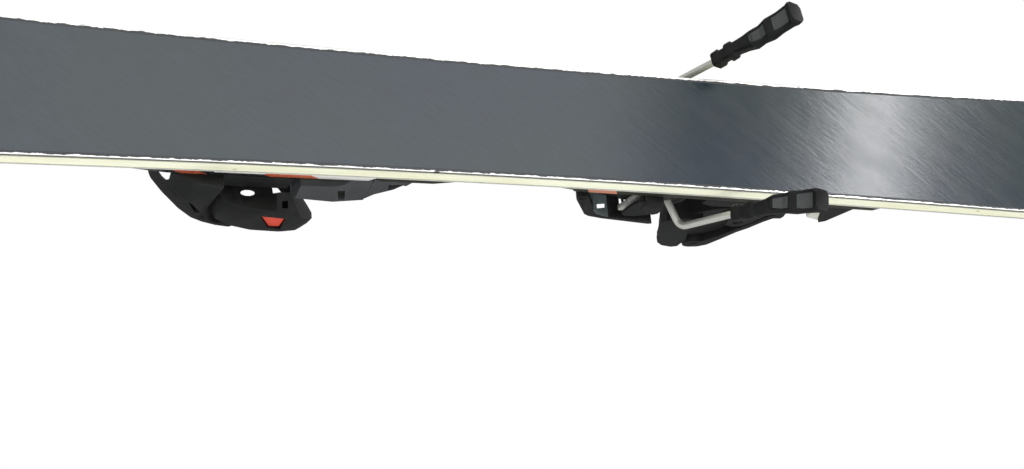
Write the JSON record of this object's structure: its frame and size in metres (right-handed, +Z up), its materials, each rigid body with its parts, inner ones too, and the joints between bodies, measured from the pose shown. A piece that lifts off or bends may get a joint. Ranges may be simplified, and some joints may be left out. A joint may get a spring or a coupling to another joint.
{
  "type": "slalom ski with binding",
  "caption": "Short-radius slalom ski with a step-in binding: sprung toe wings, sole plate, ski brake with pedal, and a heel piece that tips open on a sliding carriage.",
  "frame": {"origin": "on the running base, midway across, under the middle of the boot", "axes": "+X towards the ski tip, +Y to the left side, +Z up out of the top sheet"},
  "size_m": [1.65, 0.1274, 0.1823],
  "materials": {
    "sintered_base": "stone ground, waxed",
    "edge_steel": "ground",
    "grey_laminate": "cut and sanded glass laminate",
    "ash_wood": "planed",
    "cream_sidewall": "planed satin",
    "white_lacquer": "glossy",
    "orange_plastic": "moulded satin",
    "black_plastic": "moulded satin",
    "dark_grey_plastic": "moulded satin",
    "chromed_steel": "polished",
    "pale_plastic": "moulded satin",
    "window_plastic": "clear"
  },
  "bodies": {
    "ski": {"base_sheet": "sintered_base", "steel_edge_left": "edge_steel", "steel_edge_right": "edge_steel", "heel_track": "edge_steel", "toe_piston": "edge_steel", "toe_spring": "edge_steel", "brake_spring": "edge_steel", "brake_spring_bar": "edge_steel", "pedal_pin": "edge_steel", "lower_laminate": "grey_laminate", "upper_laminate": "grey_laminate", "wood_core": "ash_wood", "sidewall_left": "cream_sidewall", "sidewall_right": "cream_sidewall", "top_sheet": "white_lacquer", "front_plate": "white_lacquer", "toe_nut": "orange_plastic", "tip_spacer": "black_plastic", "tail_spacer": "black_plastic", "tip_protector": "black_plastic", "tail_protector": "black_plastic", "rear_plate": "black_plastic", "toe_track": "black_plastic", "toe_body": "black_plastic", "toe_housing": "black_plastic", "toe_cover": "black_plastic", "brake_base": "black_plastic", "end_wedge": "black_plastic", "sole_plate": "dark_grey_plastic", "sole_plate_tongue": "dark_grey_plastic", "wing_pin_left": "chromed_steel", "wing_pin_right": "chromed_steel", "toe_screw_left": "chromed_steel", "toe_screw_right": "chromed_steel", "heel_screw_left": "chromed_steel", "heel_screw_right": "chromed_steel", "position_lock": "pale_plastic", "toe_window": "window_plastic"},
    "toe_wing_left": {"toe_wing_left": "black_plastic", "wing_insert_left": "orange_plastic"},
    "toe_wing_right": {"toe_wing_right": "black_plastic", "wing_insert_right": "orange_plastic"},
    "toe_setting_screw": {"toe_setting_screw": "chromed_steel"},
    "sole_slider": {"sole_slider": "pale_plastic"},
    "brake_arms": {"brake_wire": "chromed_steel", "brake_foot_left": "black_plastic", "brake_foot_right": "black_plastic"},
    "brake_pedal": {"brake_pedal": "black_plastic"},
    "lift_links": {"lift_link_left": "chromed_steel", "lift_link_right": "chromed_steel"},
    "heel_carriage": {"heel_carriage": "black_plastic", "heel_axle": "chromed_steel", "pressure_spring": "edge_steel"},
    "heel_housing": {"heel_housing": "black_plastic", "heel_piston": "edge_steel", "heel_spring": "edge_steel", "heel_nut": "orange_plastic"},
    "heel_setting_screw": {"heel_setting_screw": "chromed_steel"},
    "heel_lever": {"heel_lever": "black_plastic", "lever_pin": "edge_steel"}
  },
  "joints": [
    {"name": "toe_wing_left_hinge", "type": "hinge", "parent": "ski", "child": "toe_wing_left", "pos_m": [0.172, 0.028, 0.065], "axis": [0, 0, 1], "range_deg": [-25, 0], "stiffness_Nm_per_rad": 3, "springref_deg": 11.46},
    {"name": "toe_wing_right_hinge", "type": "hinge", "parent": "ski", "child": "toe_wing_right", "pos_m": [0.172, -0.028, 0.065], "axis": [0, 0, 1], "range_deg": [0, 25], "stiffness_Nm_per_rad": 3, "springref_deg": -11.46},
    {"name": "toe_setting_turn", "type": "hinge", "parent": "ski", "child": "toe_setting_screw", "pos_m": [0.18, 0, 0.059], "axis": [1, 0, 0], "continuous": true},
    {"name": "sole_slider_slide", "type": "slide", "parent": "ski", "child": "sole_slider", "axis": [0, 1, 0], "range_m": [-0.005, 0.005], "stiffness_N_per_m": 200},
    {"name": "brake_arm_hinge", "type": "hinge", "parent": "ski", "child": "brake_arms", "pos_m": [-0.0985, 0, 0.042], "axis": [0, 1, 0], "range_deg": [0, 64], "stiffness_Nm_per_rad": 3, "springref_deg": -45.84},
    {"name": "brake_pedal_hinge", "type": "hinge", "parent": "ski", "child": "brake_pedal", "pos_m": [-0.034, 0, 0.027], "axis": [0, 1, 0], "range_deg": [-15, 0]},
    {"name": "lift_link_hinge", "type": "hinge", "parent": "ski", "child": "lift_links", "pos_m": [-0.071, 0, 0.029], "axis": [0, 1, 0], "range_deg": [-84, 0]},
    {"name": "forward_pressure_slide", "type": "slide", "parent": "ski", "child": "heel_carriage", "axis": [1, 0, 0], "range_m": [-0.008, 0], "stiffness_N_per_m": 3000, "springref_m": 0.006},
    {"name": "heel_hinge", "type": "hinge", "parent": "heel_carriage", "child": "heel_housing", "pos_m": [-0.162, 0, 0.068], "axis": [0, 1, 0], "range_deg": [0, 44]},
    {"name": "heel_setting_turn", "type": "hinge", "parent": "heel_housing", "child": "heel_setting_screw", "pos_m": [-0.16679, 0, 0.08192], "axis": [-0.7193, 0, -0.6947], "continuous": true},
    {"name": "heel_lever_hinge", "type": "hinge", "parent": "heel_housing", "child": "heel_lever", "pos_m": [-0.157, 0, 0.1155], "axis": [0, 1, 0], "range_deg": [0, 25.5]}
  ],
  "couplings": [
    {"joint": "brake_pedal_hinge", "follows": "brake_arm_hinge", "ratio": -0.2325},
    {"joint": "lift_link_hinge", "follows": "brake_arm_hinge", "ratio": -1.3},
    {"joint": "heel_lever_hinge", "follows": "heel_hinge", "ratio": 0.568}
  ]
}
